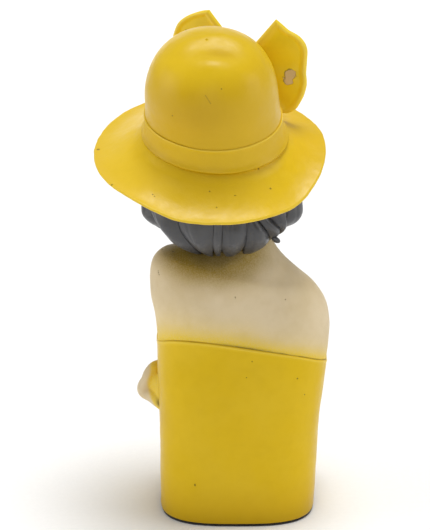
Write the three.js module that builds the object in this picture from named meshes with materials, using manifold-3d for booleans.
// A papier-mache catrina bust: a hollow torso in a strapless dress, folded arms, a calavera head with modelled
// hair, and a wide-brimmed hat with a big bow. Every piece is moulded, dried and painted apart, then glued together.
// Millimetres, +Z up. The figure faces -Y, its left side is +X, and the origin is the centre of its felt underside.
import * as THREE from "three";
import { mergeVertices } from "three/addons/utils/BufferGeometryUtils.js";
import Module from "manifold-3d";

const wasm = await Module();
wasm.setup();

const { PI, cos, sin, atan2, abs, min, max, hypot, sign, exp } = Math;
const DEGREES = PI / 180;

// Driving dimensions.
const GAP = 0.3; // room for glue between two pieces
const FELT_THICKNESS = 1.4;
const FLOOR_Z = FELT_THICKNESS + GAP; // where the shells and the base board start
const PAPER_WALL = 2.6; // laminated paper of the torso
const DRESS_PROUD = 0.6; // how far the dress stands out from the skin above it
const DRESS_THICKNESS = 1.1;
const BOARD_THICKNESS = 4;
const BALLAST = { radius: 24, height: 18 };
const DOWEL_RADIUS = 4;
const DOWEL_TOP_Z = 226;
const NECK_TOP_LEVEL = 176;
const NECKLINE_LEVEL = 102;
const PEG_RADIUS = 1.8;
const NECK = { foot: 178.4, height: 18, lean: 9, radius: 16.5, taper: 3.5, wall: 3 };

// Torso sections: level, centre x, centre y, half width, half depth, squareness, sideways slope.
const TORSO_SECTIONS = [
  [0, 0.2, 0, 46.8, 38, 3.0, 0],
  [30, -0.5, 0, 47.5, 38, 3.0, 0],
  [60, -1.1, 0, 48.3, 38, 2.9, 0.03],
  [85, -1.9, -0.5, 49.8, 37.5, 2.8, 0.08],
  [102, -2.8, -1, 51, 36.5, 2.7, 0.118],
  [116, -2.8, -1, 52.5, 35.5, 2.6, 0.16],
  [131, -1.6, 0, 54, 33.5, 2.5, 0.2],
  [146, -0.9, 2, 52, 29.5, 2.3, 0.24],
  [155, -0.8, 3.5, 46, 26, 2.2, 0.24],
  [160, -0.5, 4, 37.5, 22.5, 2.1, 0.21],
  [165, -0.9, 4, 29, 20, 2, 0.18],
  [169.5, -1, 3.5, 23, 18.5, 2, 0.13],
  [176, -0.5, 3, 19, 17, 2, 0.09],
];

// Skull sections in the head's own frame: height, half width, reach to the front, reach to the back.
const SKULL_SECTIONS = [
  [-20, 19, 32.5, 17],
  [-12, 24.5, 33.5, 22],
  [-5, 28, 33, 27],
  [4, 28.6, 32.4, 31],
  [14, 30, 34, 33],
  [24, 29, 32, 31.5],
  [32, 24.5, 26.5, 26.5],
  [38, 16.5, 18, 18],
  [41, 8, 9, 9],
];
const HEAD = { x: 11, y: -5, z: 207, tiltBack: 8 * DEGREES, roll: 4 * DEGREES };
const SKULL_WALL = 3;
const FACE_WALL = 6;

// Hair: how far out, as a share of the widest outline, and how high a lock is, from its root to its tip.
const HAIR = { x: 8.7, y: -1, halfWidth: 48.5, back: 41, front: 35, underLocks: 0.4 };
const LOCK_PROFILE = [
  [0, 0.8, 218],
  [0.25, 0.94, 208],
  [0.5, 1, 196],
  [0.72, 0.99, 187],
  [0.88, 0.87, 178],
  [1, 0.66, 170.5],
];
// The edges between the locks, in degrees round the head, 0 at the figure's left ear and 90 at the back, at five
// stations from root to tip.
const EDGE_STATIONS = [0.35, 0.55, 0.75, 0.9, 1];
const LOCK_EDGES = [
  [-38, -38, -38, -38, -38],
  [-20, -19, -17, -15, -14],
  [-4, -3, 0, 4, 8],
  [14, 21, 30, 34, 36],
  [50, 51, 54, 60, 63],
  [83, 83, 82, 81, 81],
  [88, 90, 90, 89, 89],
  [110, 111, 112, 113, 114],
  [116, 122, 132, 140, 144],
  [124, 132, 144, 150, 152],
  [153, 151, 149, 152, 154],
  [178, 180, 182, 184, 184],
  [218, 218, 218, 218, 218],
];
// How deep the groove at each edge is.
const EDGE_DEPTHS = [3.6, 3.6, 3.6, 3.6, 3.4, 1.5, 1.5, 3.6, 3.6, 3.6, 3.6, 3.6, 3.6];
// How far down each lock reaches, as a share of the way from root to tip.
const LOCK_ENDS = [0.97, 0.93, 0.8, 1.01, 1.02, 1.0, 1.02, 1.01, 0.86, 0.83, 0.8, 0.95];

// The hat's own frame stands on the rim of its crown.
const HAT = { x: 13, y: 5, z: 238.6, tiltBack: 17.2 * DEGREES, roll: 4 * DEGREES };
const HAT_WALL = 2;
const CROWN_RADIUS = 38.7;
const CROWN_FLARE = 1.6; // how much wider the crown is at its rim
const CROWN_HEIGHT = 64.5;
const CROWN_SHOULDER = 22; // where the straight side of the crown starts to round over
const BAND = { bottom: 0.9, top: 13.4, thickness: 1.1 };
const BRIM = { inner: 38, outer: 68, droop: 16, shift: 4, thickness: 1.9 };
// The soft bowl pressed into the crown's top, towards its back, and the slight swell beyond it.
const DENT = { x: -7, y: 9.5, depth: 2.5, halfWidth: 30, halfDepth: 13, bend: 0.006 };
const SWELL = { x: -5, y: 21, height: 1, halfWidth: 13, halfDepth: 8, slant: 0.3 };
// How far the brim's edge is warped up or down, by direction in degrees, 0 at the figure's left and 90 at the back.
const BRIM_WARP = [
  [-60, 7],
  [-40, 7],
  [-15, 8.3],
  [10, 9.8],
  [35, 10.9],
  [50, 10.2],
  [62, 7.4],
  [76, 3],
  [95, 0.4],
  [118, -2.8],
  [138, -4.8],
  [153, -1.8],
  [172, 1.4],
  [190, 2.8],
  [210, 1],
  [240, 0.8],
  [275, 2.8],
  [300, 5.2],
  [320, 7],
  [345, 8.3],
];
// The foot of the crown sits higher on the brim on the figure's left: by rise on the whole, and by tilt at one side.
const SEATING = { rise: 0.6, tilt: 5, towards: 12 * DEGREES, fadesAt: 50 };
const BOW = { turn: -24 * DEGREES, lean: 12 * DEGREES, out: 44.6, z: 26, thickness: 2.4, root: 0.27 };

// The outlines of the bow's wings, from their lower corner to their upper: direction from the knot in degrees, from
// the figure's left towards the top, and distance.
const BOW_REACH = {
  right: [
    [-1, 232, 40],
    [-0.9, 226.5, 42.8],
    [-0.8, 220, 44],
    [-0.7, 213, 43.4],
    [-0.58, 207, 42.9],
    [-0.35, 197.2, 41.2],
    [-0.1, 188.2, 38.4],
    [0.1, 177, 38.4],
    [0.28, 167, 39.8],
    [0.42, 160.2, 39.8],
    [0.56, 153.1, 38.2],
    [0.74, 144.2, 34.4],
    [0.88, 135, 33.2],
    [1, 127.5, 33],
  ],
  left: [
    [-1, -46, 42],
    [-0.6, -28, 45],
    [-0.3, -12, 48],
    [0, 2, 48.9],
    [0.2, 8.5, 48],
    [0.38, 16, 46.2],
    [0.54, 23.5, 43.3],
    [0.72, 33, 39.2],
    [0.86, 40.5, 36.4],
    [1, 47.5, 34],
  ],
};

// ---------------------------------------------------------------------------------------------------------------
// Curves, sections and solids

// The row of a table at key t, on a Catmull-Rom spline through its rows, without the key itself.
function rowAt(table, t) {
  const last = table.length - 1;
  let i = 0;
  while (i < last - 1 && t > table[i + 1][0]) i++;
  const [a, b, c, d] = [max(i - 1, 0), i, i + 1, min(i + 2, last)].map((k) => table[k]);
  const span = c[0] - b[0];
  const u = min(max((t - b[0]) / span, 0), 1);
  return b.slice(1).map((value, k) => {
    const j = k + 1;
    const leave = a === b ? c[j] - b[j] : ((c[j] - a[j]) * span) / (c[0] - a[0]);
    const arrive = d === c ? c[j] - b[j] : ((d[j] - b[j]) * span) / (d[0] - b[0]);
    const u2 = u * u;
    const u3 = u2 * u;
    return value * (2 * u3 - 3 * u2 + 1) + c[j] * (3 * u2 - 2 * u3) + leave * (u3 - 2 * u2 + u) + arrive * (u3 - u2);
  });
}

const steps = (count, from = 0, to = 1) =>
  Array.from({ length: count }, (_, i) => from + ((to - from) * i) / (count - 1));
const turn = (count, make) => Array.from({ length: count }, (_, i) => make((2 * PI * i) / count));
const smooth = (from, to, t) => {
  const u = min(max((t - from) / (to - from), 0), 1);
  return u * u * (3 - 2 * u);
};
const power = (value, exponent) => sign(value) * abs(value) ** exponent;
const bell = (distance, width) => exp(-((distance / width) ** 2));

// A skin over a row of cross sections. Its ends are capped, or joined to each other when it is a loop.
function loft(sections, loop = false) {
  const [rows, columns] = [sections.length, sections[0].length];
  const index = [];
  for (let i = 0; i < (loop ? rows : rows - 1); i++) {
    for (let j = 0; j < columns; j++) {
      const [here, onward] = [i * columns, ((i + 1) % rows) * columns];
      const next = (j + 1) % columns;
      index.push(here + j, here + next, onward + j, here + next, onward + next, onward + j);
    }
  }
  if (!loop) {
    const end = (rows - 1) * columns;
    for (const [a, b, c] of capTriangles(sections[0])) index.push(c, b, a);
    for (const [a, b, c] of capTriangles(sections[rows - 1])) index.push(end + a, end + b, end + c);
  }
  const geometry = new THREE.BufferGeometry().setFromPoints(sections.flat());
  geometry.setIndex(volumeOf(geometry, index) < 0 ? index.reverse() : index);
  return geometry;
}

const loftLoop = (sections) => loft(sections, true);

// Triangles across a section, wound the same way as the section.
function capTriangles(section) {
  const normal = new THREE.Vector3();
  section.forEach((p, i) => normal.add(p.clone().cross(section[(i + 1) % section.length])));
  normal.normalize();
  const across = new THREE.Vector3(normal.y, normal.z, normal.x).cross(normal).normalize();
  const along = normal.clone().cross(across);
  return THREE.ShapeUtils.triangulateShape(section.map((p) => new THREE.Vector2(p.dot(across), p.dot(along))), []);
}

function volumeOf(geometry, index) {
  const [a, b, c] = [new THREE.Vector3(), new THREE.Vector3(), new THREE.Vector3()];
  let volume = 0;
  for (let i = 0; i < index.length; i += 3) {
    [a, b, c].forEach((corner, k) => corner.fromBufferAttribute(geometry.attributes.position, index[i + k]));
    volume += a.dot(b.cross(c)) / 6;
  }
  return volume;
}

function toSolid(geometry) {
  const bare = geometry.clone();
  bare.deleteAttribute("normal");
  bare.deleteAttribute("uv");
  const merged = mergeVertices(bare, 1e-4);
  return new wasm.Manifold(
    new wasm.Mesh({
      numProp: 3,
      vertProperties: merged.attributes.position.array,
      triVerts: new Uint32Array(merged.index.array),
    }),
  );
}

function toGeometry(solid) {
  const mesh = solid.getMesh();
  return new THREE.BufferGeometry()
    .setAttribute("position", new THREE.BufferAttribute(mesh.vertProperties, 3))
    .setIndex(new THREE.BufferAttribute(mesh.triVerts, 1));
}

// Moves a geometry from the figure's frame into a group's, or out of it.
const inFrame = (group, geometry) => geometry.applyMatrix4(group.matrix.clone().invert());
const fromFrame = (group, geometry) => geometry.applyMatrix4(group.matrix);

// The geometry with other geometries cut away, and only its largest piece kept.
function cut(geometry, ...cutters) {
  let solid = toSolid(geometry);
  for (const cutter of cutters) solid = solid.subtract(toSolid(cutter));
  const pieces = solid.asOriginal().simplify(0.01).decompose().sort((a, b) => b.volume() - a.volume());
  return toGeometry(pieces[0]);
}

// Two bodies that run into each other, as one.
const joined = (one, other) => toGeometry(toSolid(one).add(toSolid(other)).asOriginal().simplify(0.01));

// A rod of round section between two points, made longer at both ends by extra.
function rod(from, to, radius, sides = 14, extra = 0) {
  const axis = to.clone().sub(from).normalize();
  const across = new THREE.Vector3(axis.y, axis.z, axis.x).cross(axis).normalize();
  const along = axis.clone().cross(across);
  const ends = [from.clone().addScaledVector(axis, -extra), to.clone().addScaledVector(axis, extra)];
  const ring = (end) =>
    turn(sides, (a) => end.clone().addScaledVector(across, radius * cos(a)).addScaledVector(along, radius * sin(a)));
  return loft(ends.map(ring));
}

const disc = (x, y, z, radius, height, sides = 24) =>
  rod(new THREE.Vector3(x, y, z), new THREE.Vector3(x, y, z + height), radius, sides);

// A round bar whose thickness changes along a curve; thickness(t) gives its radii across and along the turn.
function limb(points, thickness, rings = 10, sides = 14) {
  const curve = new THREE.CatmullRomCurve3(points.map((p) => new THREE.Vector3(...p)));
  const frames = curve.computeFrenetFrames(rings - 1);
  const sections = steps(rings).map((t, i) => {
    const centre = curve.getPointAt(t);
    const [across, along] = thickness(t);
    return turn(sides, (angle) =>
      centre
        .clone()
        .addScaledVector(frames.normals[i], across * cos(angle))
        .addScaledVector(frames.binormals[i], along * sin(angle)),
    );
  });
  return loft(sections);
}

// ---------------------------------------------------------------------------------------------------------------
// Torso

// The dress's top edge, as a level: it dips at the sides, rises across the back and is heart-shaped in front.
function necklineLevel(angle) {
  const s = sin(angle);
  return s >= 0 ? NECKLINE_LEVEL + 13.5 * s ** 1.1 : NECKLINE_LEVEL + 15 * (-s) ** 1.2 - 6 * bell(cos(angle), 0.22);
}

// A point on the torso's surface, moved out by an offset. The halves, 1 for the back and -1 for the front, stop short
// of the seam between them; half 0 is the whole outline.
function torsoPoint(level, angle, offset = 0, half = 0) {
  const [cx, cy, width, depth, squareness, slope] = rowAt(TORSO_SECTIONS, level);
  const x = cx + (width + offset) * power(cos(angle), 2 / squareness);
  const side = sin(angle);
  const seam = half ? GAP / 2 : 0;
  const reach = (depth + offset - seam) * abs(side) ** (2 / squareness);
  const breasts = bell(x - 17, 14) + bell(x + 23, 14);
  const chest = 5.5 * bell(level - 112, 15) * breasts * smooth(0, 0.5, -side);
  const y = cy + (half || sign(side)) * (seam + reach + chest);
  return new THREE.Vector3(x, y, level + slope * (x - cx));
}

// One half of a torso layer. Each row gives the level at an angle and the offsets of the layer's two sides there.
function torsoHalf(half, rows, points = 15) {
  const angles = steps(points, 0, PI).map((a) => a * half);
  const sections = rows.map(({ level, outside, inside, sink = 0 }) => [
    ...angles.map((a) => torsoPoint(level(a), a, outside, half)),
    ...[...angles].reverse().map((a) => torsoPoint(level(a), a, inside, half).add(new THREE.Vector3(0, 0, -sink))),
  ]);
  return loft(sections);
}

const between = (from, to, t) => (angle) => from(angle) + (to(angle) - from(angle)) * t;
const floorLevel = () => FLOOR_Z;

function torsoShell(half) {
  const room = half < 0 ? 3 * GAP : GAP; // the dress stands a little further off the chest
  const under = DRESS_PROUD - DRESS_THICKNESS - room; // the skin is rebated where the dress lies over it
  const inside = under - PAPER_WALL;
  const top = () => NECK_TOP_LEVEL;
  const below = [0, 0.3, 0.6, 0.85, 1].map((t) => ({
    level: between(floorLevel, necklineLevel, t),
    outside: under,
    inside,
  }));
  const above = [0, 0.15, 0.3, 0.45, 0.58, 0.68, 0.78, 0.88, 1].map((t) => ({
    level: between(necklineLevel, top, t),
    outside: 0,
    inside,
    sink: 1.8 * smooth(0.3, 0.6, t),
  }));
  return torsoHalf(half, [...below, ...above]);
}

function dressHalf(half) {
  const hem = (angle) => necklineLevel(angle) - GAP;
  const rows = [0, 0.3, 0.6, 0.85, 1].map((t) => ({
    level: between(floorLevel, hem, t),
    outside: DRESS_PROUD,
    inside: DRESS_PROUD - DRESS_THICKNESS,
  }));
  return torsoHalf(half, rows);
}

// Everything that the torso fills, with glue room round it, for cutting what rests on it.
function torsoEnvelope() {
  const levels = [-3, 20, 50, 75, 95, 108, 120, 132, 144, 153, 160, 166, 171, NECK_TOP_LEVEL + GAP];
  return loft(levels.map((level) => turn(40, (angle) => torsoPoint(level, angle, DRESS_PROUD + 2 * GAP))));
}

// The pasted strip that joins the two halves along one side seam, inside; side is 1 on the figure's left.
function seamStrip(side) {
  const angle = side > 0 ? 0 : PI;
  const inside = DRESS_PROUD - DRESS_THICKNESS - GAP - PAPER_WALL - GAP;
  const thickness = 1;
  const halfWidth = 6;
  const sections = [FLOOR_Z + BOARD_THICKNESS + 2, 45, 80, 105, 125].map((level) => {
    const outer = torsoPoint(level, angle, inside - 1.6);
    const corner = (inwards, y) => new THREE.Vector3(outer.x - side * inwards, outer.y + y, outer.z);
    return [corner(0, -halfWidth), corner(0, halfWidth), corner(thickness, halfWidth), corner(thickness, -halfWidth)];
  });
  return loft(sections);
}

// ---------------------------------------------------------------------------------------------------------------
// Base and the rod that carries the head

function baseFelt() {
  return loft([0, FELT_THICKNESS].map((z) => turn(44, (a) => torsoPoint(0, a, DRESS_PROUD - 0.5).setZ(z))));
}

function baseBoard() {
  const inside = DRESS_PROUD - DRESS_THICKNESS - PAPER_WALL - 5 * GAP;
  const rings = [FLOOR_Z, FLOOR_Z + BOARD_THICKNESS];
  return loft(rings.map((z) => turn(32, (a) => torsoPoint(z, a, inside).setZ(z))));
}

const DOWEL_FOOT = new THREE.Vector3(2, 4, FLOOR_Z + BOARD_THICKNESS + GAP);
const DOWEL_HEAD = new THREE.Vector3(HEAD.x, HEAD.y + 3, DOWEL_TOP_Z);
const dowelAt = (z) => DOWEL_FOOT.clone().lerp(DOWEL_HEAD, (z - DOWEL_FOOT.z) / (DOWEL_HEAD.z - DOWEL_FOOT.z));
const dowelHole = () => rod(dowelAt(0), dowelAt(DOWEL_TOP_Z + 20), DOWEL_RADIUS + GAP);

function ballast() {
  return cut(disc(DOWEL_FOOT.x, DOWEL_FOOT.y, DOWEL_FOOT.z, BALLAST.radius, BALLAST.height), dowelHole());
}

// A card plate that steadies the rod at the shoulders and slopes as they do.
function collarPlate() {
  const outline = (level) => turn(28, (a) => torsoPoint(level, a, -10));
  return cut(loft([157, 159.5].map(outline)), dowelHole());
}

// A ring of the neck, which leans from the torso's collar to the middle of the skull; t runs from foot to top.
const neckRing = (t, inwards) => {
  const radius = NECK.radius - NECK.taper * t - inwards;
  const centre = new THREE.Vector3(NECK.lean * t - 0.5, 3 - NECK.lean * t, NECK.foot + NECK.height * t);
  return turn(20, (a) => centre.clone().add(new THREE.Vector3(radius * cos(a), 0.92 * radius * sin(a), 0)));
};

function neckTube() {
  const outside = steps(4).map((t) => neckRing(t, 0));
  const inside = steps(4, 1, 0).map((t) => neckRing(t, NECK.wall));
  return cut(loftLoop([...outside, ...inside]), dowelHole());
}

const neckEnvelope = () => loft(steps(4, -0.3, 1.05).map((t) => neckRing(t, -GAP)));

// ---------------------------------------------------------------------------------------------------------------
// Arms

const ARM_PATHS = {
  left: [
    [37, -21, 137],
    [31, -31, 112],
    [29, -31, 93],
    [37, -22, 77],
    [42, -24, 67],
    [36, -38, 66.5],
    [26, -46, 73],
    [10, -49, 82],
  ],
  right: [
    [-43, -20, 122],
    [-41, -27, 104],
    [-41, -28, 86],
    [-41, -29, 72],
    [-34, -41, 72],
    [-20, -47, 77],
    [-5, -46.5, 83],
  ],
};
// The left elbow is a roll bent round a corner, which ends inside the arm at one side and in the dress at the other,
// and a thick part that fills the space between the roll and the arm.
const ELBOW_PATH = [
  [40, -23, 79],
  [46, -16, 83],
  [50.5, -9, 84.6],
  [53.4, -7.5, 81.5],
  [55, -7, 77.5],
  [57.4, -7, 72.8],
  [57, -6.5, 70.2],
  [52.8, -4.5, 68],
  [47.5, -1, 66.2],
  [42, 2, 65],
];
const ELBOW_RADIUS = 4.3;
const ELBOW_FILL_PATH = [
  [40, -25, 70],
  [46, -17, 73.5],
  [51, -10, 74.5],
];
const HAND_PATHS = {
  left: [
    [8.6, -51.5, 85],
    [-1, -55.5, 86.5],
    [-9, -56, 85],
    [-17, -53.5, 81],
  ],
  right: [
    [-3, -47.2, 85.6],
    [3.5, -47.5, 90.5],
    [10.5, -46, 94],
    [17, -44, 96],
  ],
};
const PEGS = {
  left: [new THREE.Vector3(28, -25, 100), new THREE.Vector3(32.3, -37, 100)],
  right: [new THREE.Vector3(-33, -24, 94), new THREE.Vector3(-44, -32, 94)],
};

// An arm before anything is cut from it, thickest at the elbow and slim at both ends, with room added all round.
function armForm(side, room = 0) {
  const girth = (t) => {
    const radius = 6 + 4.4 * smooth(0, 0.18, t) + 1.6 * bell(t - 0.52, 0.12) - 3.4 * smooth(0.6, 1, t) + room;
    return [radius, radius];
  };
  return limb(ARM_PATHS[side], girth, 18, 14);
}

// A closed hand: a flat palm that narrows to the fingertips, laid across the front of the waist.
function handForm(side, room = 0) {
  const girth = (t) => [
    2.6 + 1.4 * sin(PI * min(t + 0.15, 1)) + room,
    4.2 + 3.4 * sin(PI * min(t * 0.9 + 0.2, 1)) + room,
  ];
  return limb(HAND_PATHS[side], girth, 7, 12);
}

function arm(side) {
  if (side === "right") return cut(armForm(side), torsoEnvelope(), pegHole(side));
  const roll = limb(ELBOW_PATH, () => [ELBOW_RADIUS, ELBOW_RADIUS], 18, 12);
  const fill = limb(ELBOW_FILL_PATH, (t) => [7.5 - 2 * t, 7.5 - 2 * t], 6, 12);
  return cut(joined(joined(armForm(side), roll), fill), torsoEnvelope(), pegHole(side));
}

const armPeg = (side) => rod(...PEGS[side], PEG_RADIUS, 12);
const pegHole = (side) => rod(...PEGS[side], PEG_RADIUS + GAP, 12, 1);

// The left hand lies over the right one.
function hand(side) {
  const others = side === "left" ? [handForm("right", GAP)] : [];
  return cut(handForm(side), torsoEnvelope(), armForm("left", GAP), armForm("right", GAP), ...others);
}

// ---------------------------------------------------------------------------------------------------------------
// Head

function skullPoint(height, angle, offset = 0, half = 0) {
  const [width, front, back] = rowAt(SKULL_SECTIONS, height);
  const side = sin(angle);
  const cheek = side < 0 ? 1.6 * bell(height + 7, 5) * bell(abs(cos(angle)) - 0.75, 0.25) : 0;
  const x = (width + offset + cheek) * power(cos(angle), 2 / 2.2);
  const seam = half ? GAP / 2 : 0;
  const reach = ((half || side) < 0 ? front : back) + offset - seam;
  const y = (half || sign(side)) * (seam + reach * abs(side) ** (2 / 2.2));
  return new THREE.Vector3(x, y, height);
}

function skullHalf(half, wall, heights) {
  const angles = steps(13, 0, PI).map((a) => a * half);
  const rows = heights.map((height) => [
    ...angles.map((a) => skullPoint(height, a, 0, half)),
    ...[...angles].reverse().map((a) => skullPoint(height, a, -wall * min(1, (46 - height) / 12), half)),
  ]);
  return loft(rows);
}

const ellipsoid = (x, y, z, rx, ry, rz) => new THREE.SphereGeometry(1, 16, 9).scale(rx, ry, rz).translate(x, y, z);

function skullFace() {
  const face = skullHalf(-1, FACE_WALL, [-20, -12, -5, 0, 5, 12, 20, 28, 34, 38, 41]);
  const sockets = [-12.5, 12.5].map((x) => ellipsoid(x, -31.5, 2, 8.6, 5.2, 9));
  const nose = [-2, 2].map((x) => ellipsoid(x, -34.5, -10, 2.8, 4.4, 4.6));
  return cut(face, ...sockets, ...nose, inFrame(head, neckEnvelope()));
}

function skullBack() {
  const heights = SKULL_SECTIONS.map(([height]) => height);
  return cut(skullHalf(1, SKULL_WALL, heights), inFrame(head, neckEnvelope()));
}

// The room that the skull and jaw take up, for cutting the hair to fit round them.
function skullEnvelope() {
  const round = (height) => turn(32, (a) => skullPoint(height, a, 3 * GAP));
  const chin = (height) => turn(32, (a) => new THREE.Vector3(27 * cos(a), (a > PI ? 36.5 : 12) * sin(a), height));
  return [loft([-20.5, -12, -5, 4, 14, 24, 32, 38, 42].map(round)), loft([-46, -20.4].map(chin))];
}

// The lower jaw: a horseshoe from one ear round the chin to the other.
function jaw() {
  const sections = steps(17, -1, 1).map((t) => {
    const angle = -PI / 2 + t * 1.42;
    const rise = abs(t) ** 3;
    const reach = 20 + 12.4 * (1 - rise);
    const width = 22.5 * (0.62 + 0.38 * abs(t));
    const centre = new THREE.Vector3(width * cos(angle), reach * sin(angle) + 1, -38 + 12.5 * rise);
    const outwards = new THREE.Vector3(cos(angle), sin(angle), 0);
    const height = 6.4 - 1.4 * abs(t);
    return turn(10, (a) =>
      centre.clone().addScaledVector(outwards, 3 * cos(a)).add(new THREE.Vector3(0, 0, height * sin(a))),
    );
  });
  return loft(sections);
}

// A row of teeth: one strip that swells at each tooth.
function teeth(height, tall, reach) {
  const count = 8;
  const sections = steps(count * 4 + 1, -1, 1).map((t) => {
    const angle = -PI / 2 + t * 0.72;
    const swell = 0.55 + 0.45 * abs(cos((t * count * PI) / 2));
    const outwards = new THREE.Vector3(cos(angle) * 0.78, sin(angle), 0);
    const centre = outwards.clone().multiplyScalar(reach).setZ(height);
    return turn(8, (a) =>
      centre
        .clone()
        .addScaledVector(outwards, 1.3 * swell * cos(a))
        .add(new THREE.Vector3(0, 0, (tall / 2) * (0.8 + 0.2 * swell) * sin(a))),
    );
  });
  return loft(sections);
}

// ---------------------------------------------------------------------------------------------------------------
// Hair

const placedSkull = () => skullEnvelope().map((geometry) => fromFrame(head, geometry));

// Where an edge between two locks is at v, in degrees round the head.
const edgeAt = (edge, v) => rowAt(EDGE_STATIONS.map((station, k) => [station, LOCK_EDGES[edge][k]]), v)[0];

// A point of the hair mass: v runs from root to tip, inwards is the distance in from its outside.
function hairPoint(v, degrees, inwards = 0) {
  const angle = degrees * DEGREES;
  const [share, height] = rowAt(LOCK_PROFILE, v);
  const deep = sin(angle) > 0 ? HAIR.back : HAIR.front;
  const nape = max(0, sin(angle)) ** 2;
  const outline = 1 / hypot(cos(angle) / HAIR.halfWidth, sin(angle) / deep);
  const radius = outline * share - inwards;
  const drop = (smooth(0.3, 1, v) * 5 - 2) * nape;
  return new THREE.Vector3(HAIR.x + radius * cos(angle), HAIR.y + radius * sin(angle), height - drop);
}

const lockDepth = (degrees) => 4.6 + 4.4 * cos(degrees * DEGREES) ** 2;

// A combed lock: it bulges between its edges, more so towards its tip, which is narrower and thinner. All locks share
// the same stations, so that their sides stay parallel.
function hairLock(i) {
  const end = LOCK_ENDS[i];
  const glue = 0.3; // degrees
  const stations = [0, 0.2, 0.35, 0.5, 0.62, 0.74, 0.84, 0.93].filter((v) => v < end - 0.04);
  const sections = [...stations, end].map((v) => {
    const left = edgeAt(i, v) + glue;
    const right = edgeAt(i + 1, v) - glue;
    const width = (right - left) * DEGREES * HAIR.halfWidth;
    const nearTip = 1 - min((end - v) / 0.2, 1);
    const across = (s) => (left + right) / 2 + ((right - left) / 2) * (1 - 0.45 * nearTip ** 2.4) * s;
    const swell = 0.55 + 0.45 * smooth(0.4, 0.85, v / end);
    const outside = steps(9, -1, 1).map((s) => {
      const depth = lockDepth(across(s));
      const groove = min(width * 0.26, EDGE_DEPTHS[s < 0 ? i : i + 1]) * swell;
      const bulge = max(cos((PI / 2) * s), 0) ** 1.15;
      const thickness = max(depth - groove * (1 - bulge), 1) * (1 - 0.8 * nearTip ** 2.2);
      return hairPoint(v, across(s), depth - thickness);
    });
    const inside = steps(5, 1, -1).map((s) => hairPoint(v, across(s), lockDepth(across(s)) + HAIR.underLocks));
    return [...outside, ...inside];
  });
  return cut(loft(sections), torsoEnvelope(), ...placedSkull());
}

// The pulp under the locks, a bowl open to the face that wraps the back of the skull.
function hairCap() {
  const [first, last] = [LOCK_EDGES[0][0] + 6, LOCK_EDGES[LOCK_EDGES.length - 1][0] - 6];
  const sections = steps(6, 0, 0.86).map((v) => {
    const outside = steps(22, first, last).map((d) => hairPoint(v, d, lockDepth(d) + 0.9));
    const inside = steps(22, last, first).map((d) => hairPoint(v, d, lockDepth(d) + 3.4));
    return [...outside, ...inside];
  });
  return cut(loft(sections), torsoEnvelope(), neckEnvelope(), ...placedSkull());
}

// A wave of hair over the forehead, in the head's frame; side is 1 on the figure's left.
function fringe(side) {
  const sections = steps(8).map((t) => {
    const angle = -PI / 2 + side * (0.05 + 1.05 * t);
    const height = 33 - 15 * t ** 2;
    const root = skullPoint(height, angle, 2.2 + 0.6 * sin(PI * t));
    const outwards = new THREE.Vector3(cos(angle), sin(angle), 0);
    return turn(8, (a) =>
      root
        .clone()
        .addScaledVector(outwards, 2 * cos(a))
        .add(new THREE.Vector3(0, 0, (4.6 - 1.6 * t) * sin(a))),
    );
  });
  return cut(loft(sections), ...skullEnvelope());
}

// ---------------------------------------------------------------------------------------------------------------
// Hat

function crownRadius(height) {
  if (height <= CROWN_SHOULDER) return CROWN_RADIUS + CROWN_FLARE * (1 - height / CROWN_SHOULDER);
  const t = (height - CROWN_SHOULDER) / (CROWN_HEIGHT - CROWN_SHOULDER);
  return CROWN_RADIUS * (1 - min(t, 1) ** 2.4) ** (1 / 2.4);
}

// How high the foot of the crown sits on the brim in one direction.
const seatHeight = (angle) => SEATING.rise + SEATING.tilt * cos(angle - SEATING.towards);

// A point of the crown or band, moved up or down with the foot of the crown.
function seated(point) {
  const share = 1 - smooth(0, SEATING.fadesAt, point.z);
  return point.setZ(point.z + seatHeight(atan2(point.y, point.x)) * share);
}

// How far the crown's top is pressed in or swollen at a place.
function crownDent(x, y) {
  const along = (x - DENT.x) / DENT.halfWidth;
  const across = (y - DENT.y - DENT.bend * (x - DENT.x) ** 2) / DENT.halfDepth;
  const bowl = DENT.depth * (1 - smooth(0.05, 1.15, hypot(along, across)));
  const ridge = bell(y - SWELL.y + SWELL.slant * (x - SWELL.x), SWELL.halfDepth);
  return SWELL.height * bell(x - SWELL.x, SWELL.halfWidth) * ridge - bowl;
}

// One of the crown's skins, as rings from its foot up: room is how far it lies inside the outer one.
function crownSkin(room) {
  const levels = [0, 0.18, 0.34, 0.47, 0.59, 0.7, 0.8, 0.89, 0.945, 0.975, 0.99, 0.998];
  return levels.map((level) => {
    const height = level * CROWN_HEIGHT;
    return turn(36, (angle) => {
      const point = polar(max(crownRadius(height) - room, 1), angle, height);
      const dome = smooth(0.5, 0.95, level);
      return seated(point).add(new THREE.Vector3(0, 0, (crownDent(point.x, point.y) - room) * dome));
    });
  });
}

function hatCrown() {
  const pegHole = rod(...BOW_PEG, PEG_RADIUS + GAP, 12, 3).translate(0, -BOW.out, BOW.z).rotateZ(BOW.turn);
  return cut(loft([...crownSkin(HAT_WALL).reverse(), ...crownSkin(0)]), pegHole);
}

const polar = (radius, angle, height) => new THREE.Vector3(radius * cos(angle), radius * sin(angle), height);

// The brim falls away from the crown and flattens towards its edge, which is wider on the left. It dips on the back
// right and is pushed up on the back left.
function brimPoint(radius, angle, below) {
  const t = (radius - BRIM.inner) / (BRIM.outer - BRIM.inner);
  const degrees = ((angle / DEGREES + 40) % 360) - 40;
  const lift = rowAt(BRIM_WARP, degrees)[0] * t + seatHeight(angle) * (1 - smooth(0, 1, t));
  const droop = BRIM.droop * (1 - (1 - t) ** 1.5);
  return polar(radius, angle, lift - droop - GAP - below).add(new THREE.Vector3(BRIM.shift * t, 0, 0));
}

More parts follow.
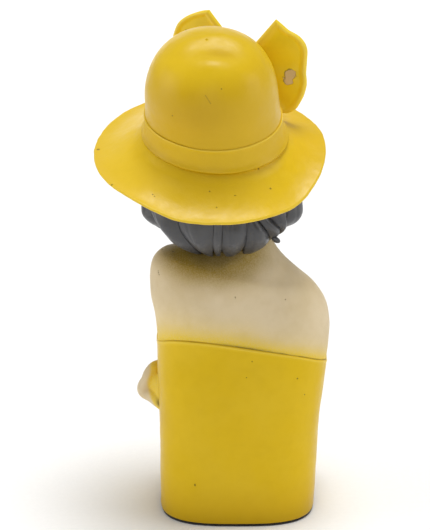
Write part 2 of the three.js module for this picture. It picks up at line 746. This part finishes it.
function hatBrim() {
  const radii = steps(6, BRIM.inner, BRIM.outer);
  const surface = (below) => radii.map((r) => turn(48, (a) => brimPoint(r, a, below)));
  return loftLoop([...surface(BRIM.thickness).reverse(), ...surface(0)]);
}

function hatBand() {
  const ring = (height, out) => turn(36, (a) => seated(polar(crownRadius(height) + out, a, height)));
  const [low, high] = [BAND.bottom, BAND.top];
  const outer = GAP + BAND.thickness;
  return loftLoop([ring(low, GAP + 0.1), ring(low, outer), ring(high, outer), ring(high, GAP + 0.1)]);
}

// Wadded paper between the top of the skull and the top of the crown.
function hatPlug() {
  const skull = skullEnvelope().map((geometry) => inFrame(hat, fromFrame(head, geometry)));
  return cut(disc(0, 0, 2, 14, CROWN_HEIGHT - 9, 20), ...skull);
}

// One wing of the bow: a cupped fan that opens from the knot and leans back, with a wavy outer edge; side is 1 on the
// left.
function bowWing(side) {
  const reach = side > 0 ? BOW_REACH.left : BOW_REACH.right;
  const lean = new THREE.Matrix4().makeRotationX(BOW.lean + PI / 2);
  const sections = steps(8, BOW.root, 1).map((r) => {
    const edge = (u, out) => {
      const [degrees, length] = rowAt(reach, u);
      const cup = 6 * r ** 2 * (1 - u ** 2) + 0.8 * cos(2 * PI * u) * r;
      return polar(r * length, degrees * DEGREES, cup + out).applyMatrix4(lean);
    };
    const half = (BOW.thickness / 2) * (0.6 + 0.4 * sin(PI * min(r + 0.1, 1)));
    return [...steps(15, -1, 1).map((u) => edge(u, -half)), ...steps(15, 1, -1).map((u) => edge(u, half))];
  });
  return loft(sections);
}

const BOW_PEG = [new THREE.Vector3(0, 3.5, 0), new THREE.Vector3(0, 13.5, 0)];
const bowPeg = () => rod(...BOW_PEG, PEG_RADIUS, 12);
const bowKnot = () => cut(ellipsoid(0, -1, 0, 7.4, 6, 8.4), rod(...BOW_PEG, PEG_RADIUS + GAP, 12, 0.5));

// A ribbon tail that lies down from the knot towards the brim.
function bowTail(side) {
  const sections = steps(7).map((t) => {
    const centre = new THREE.Vector3(side * (5.2 + 9 * t), -1.5 - 4 * sin(1.6 * t), -9.5 - 19 * t);
    const width = 4 + 5 * t;
    const half = BOW.thickness / 2;
    const across = (s, out) => centre.clone().add(new THREE.Vector3(s * width, out, s * side * 1.6 * t));
    return [...steps(5, -1, 1).map((s) => across(s, -half)), ...steps(5, 1, -1).map((s) => across(s, half))];
  });
  return loft(sections);
}

// ---------------------------------------------------------------------------------------------------------------
// The assembly

const COLOURS = {
  yellow: { color: 0xd9ad1c, roughness: 0.5, metalness: 0 },
  skin: { color: 0xd3c19d, roughness: 0.6, metalness: 0 },
  hair: { color: 0x4f4f53, roughness: 0.5, metalness: 0 },
  tooth: { color: 0xe9e2cf, roughness: 0.55, metalness: 0 },
  black: { color: 0x1c1c1e, roughness: 0.95, metalness: 0 },
  wood: { color: 0xb98d58, roughness: 0.8, metalness: 0 },
  card: { color: 0xa58a66, roughness: 0.95, metalness: 0 },
  plaster: { color: 0xe6e2da, roughness: 0.95, metalness: 0 },
};

function piece(name, geometry, colour) {
  const made = new THREE.Mesh(geometry, new THREE.MeshStandardMaterial(COLOURS[colour]));
  made.name = name;
  return made;
}

const figure = new THREE.Group();

const head = new THREE.Group();
head.position.set(HEAD.x, HEAD.y, HEAD.z);
head.rotation.set(-HEAD.tiltBack, HEAD.roll, 0);
head.updateMatrix();

const hat = new THREE.Group();
hat.position.set(HAT.x, HAT.y, HAT.z);
hat.rotation.set(-HAT.tiltBack, HAT.roll, 0);
hat.updateMatrix();

figure.add(
  piece("base_felt", baseFelt(), "black"),
  piece("base_board", baseBoard(), "card"),
  piece("ballast_puck", ballast(), "plaster"),
  piece("spine_dowel", rod(DOWEL_FOOT, DOWEL_HEAD, DOWEL_RADIUS), "wood"),
  piece("collar_plate", collarPlate(), "card"),
  piece("neck_tube", neckTube(), "skin"),
  piece("torso_back_shell", torsoShell(1), "skin"),
  piece("torso_front_shell", cut(torsoShell(-1), pegHole("left"), pegHole("right")), "skin"),
  piece("dress_back", dressHalf(1), "yellow"),
  piece("dress_front", cut(dressHalf(-1), pegHole("left"), pegHole("right")), "yellow"),
  piece("seam_strip_left", seamStrip(1), "card"),
  piece("seam_strip_right", seamStrip(-1), "card"),
);

for (const side of ["left", "right"]) {
  figure.add(
    piece(`${side}_arm`, arm(side), "skin"),
    piece(`${side}_arm_peg`, armPeg(side), "wood"),
    piece(`${side}_hand`, hand(side), "skin"),
  );
}

head.add(
  piece("skull_face", skullFace(), "skin"),
  piece("skull_back", skullBack(), "skin"),
  piece("jaw", jaw(), "skin"),
  piece("upper_teeth", teeth(-22.4, 4.2, 30.5), "tooth"),
  piece("lower_teeth", teeth(-29, 4.2, 30), "tooth"),
  piece("fringe_left", fringe(1), "hair"),
  piece("fringe_right", fringe(-1), "hair"),
);
figure.add(head);

figure.add(piece("hair_cap", hairCap(), "hair"));
for (let i = 0; i < LOCK_EDGES.length - 1; i++) {
  figure.add(piece(`hair_lock_${String(i + 1).padStart(2, "0")}`, hairLock(i), "hair"));
}

hat.add(
  piece("hat_crown", hatCrown(), "yellow"),
  piece("hat_brim", hatBrim(), "yellow"),
  piece("hat_band", hatBand(), "yellow"),
  piece("hat_plug", hatPlug(), "card"),
);
const bow = new THREE.Group();
bow.position.set(0, -BOW.out, BOW.z).applyAxisAngle(new THREE.Vector3(0, 0, 1), BOW.turn);
bow.rotation.z = BOW.turn;
bow.add(
  piece("bow_wing_left", bowWing(1), "yellow"),
  piece("bow_wing_right", bowWing(-1), "yellow"),
  piece("bow_knot", bowKnot(), "yellow"),
  piece("bow_tail_left", bowTail(1), "yellow"),
  piece("bow_tail_right", bowTail(-1), "yellow"),
  piece("bow_peg", bowPeg(), "wood"),
);
hat.add(bow);
figure.add(hat);

export default figure;
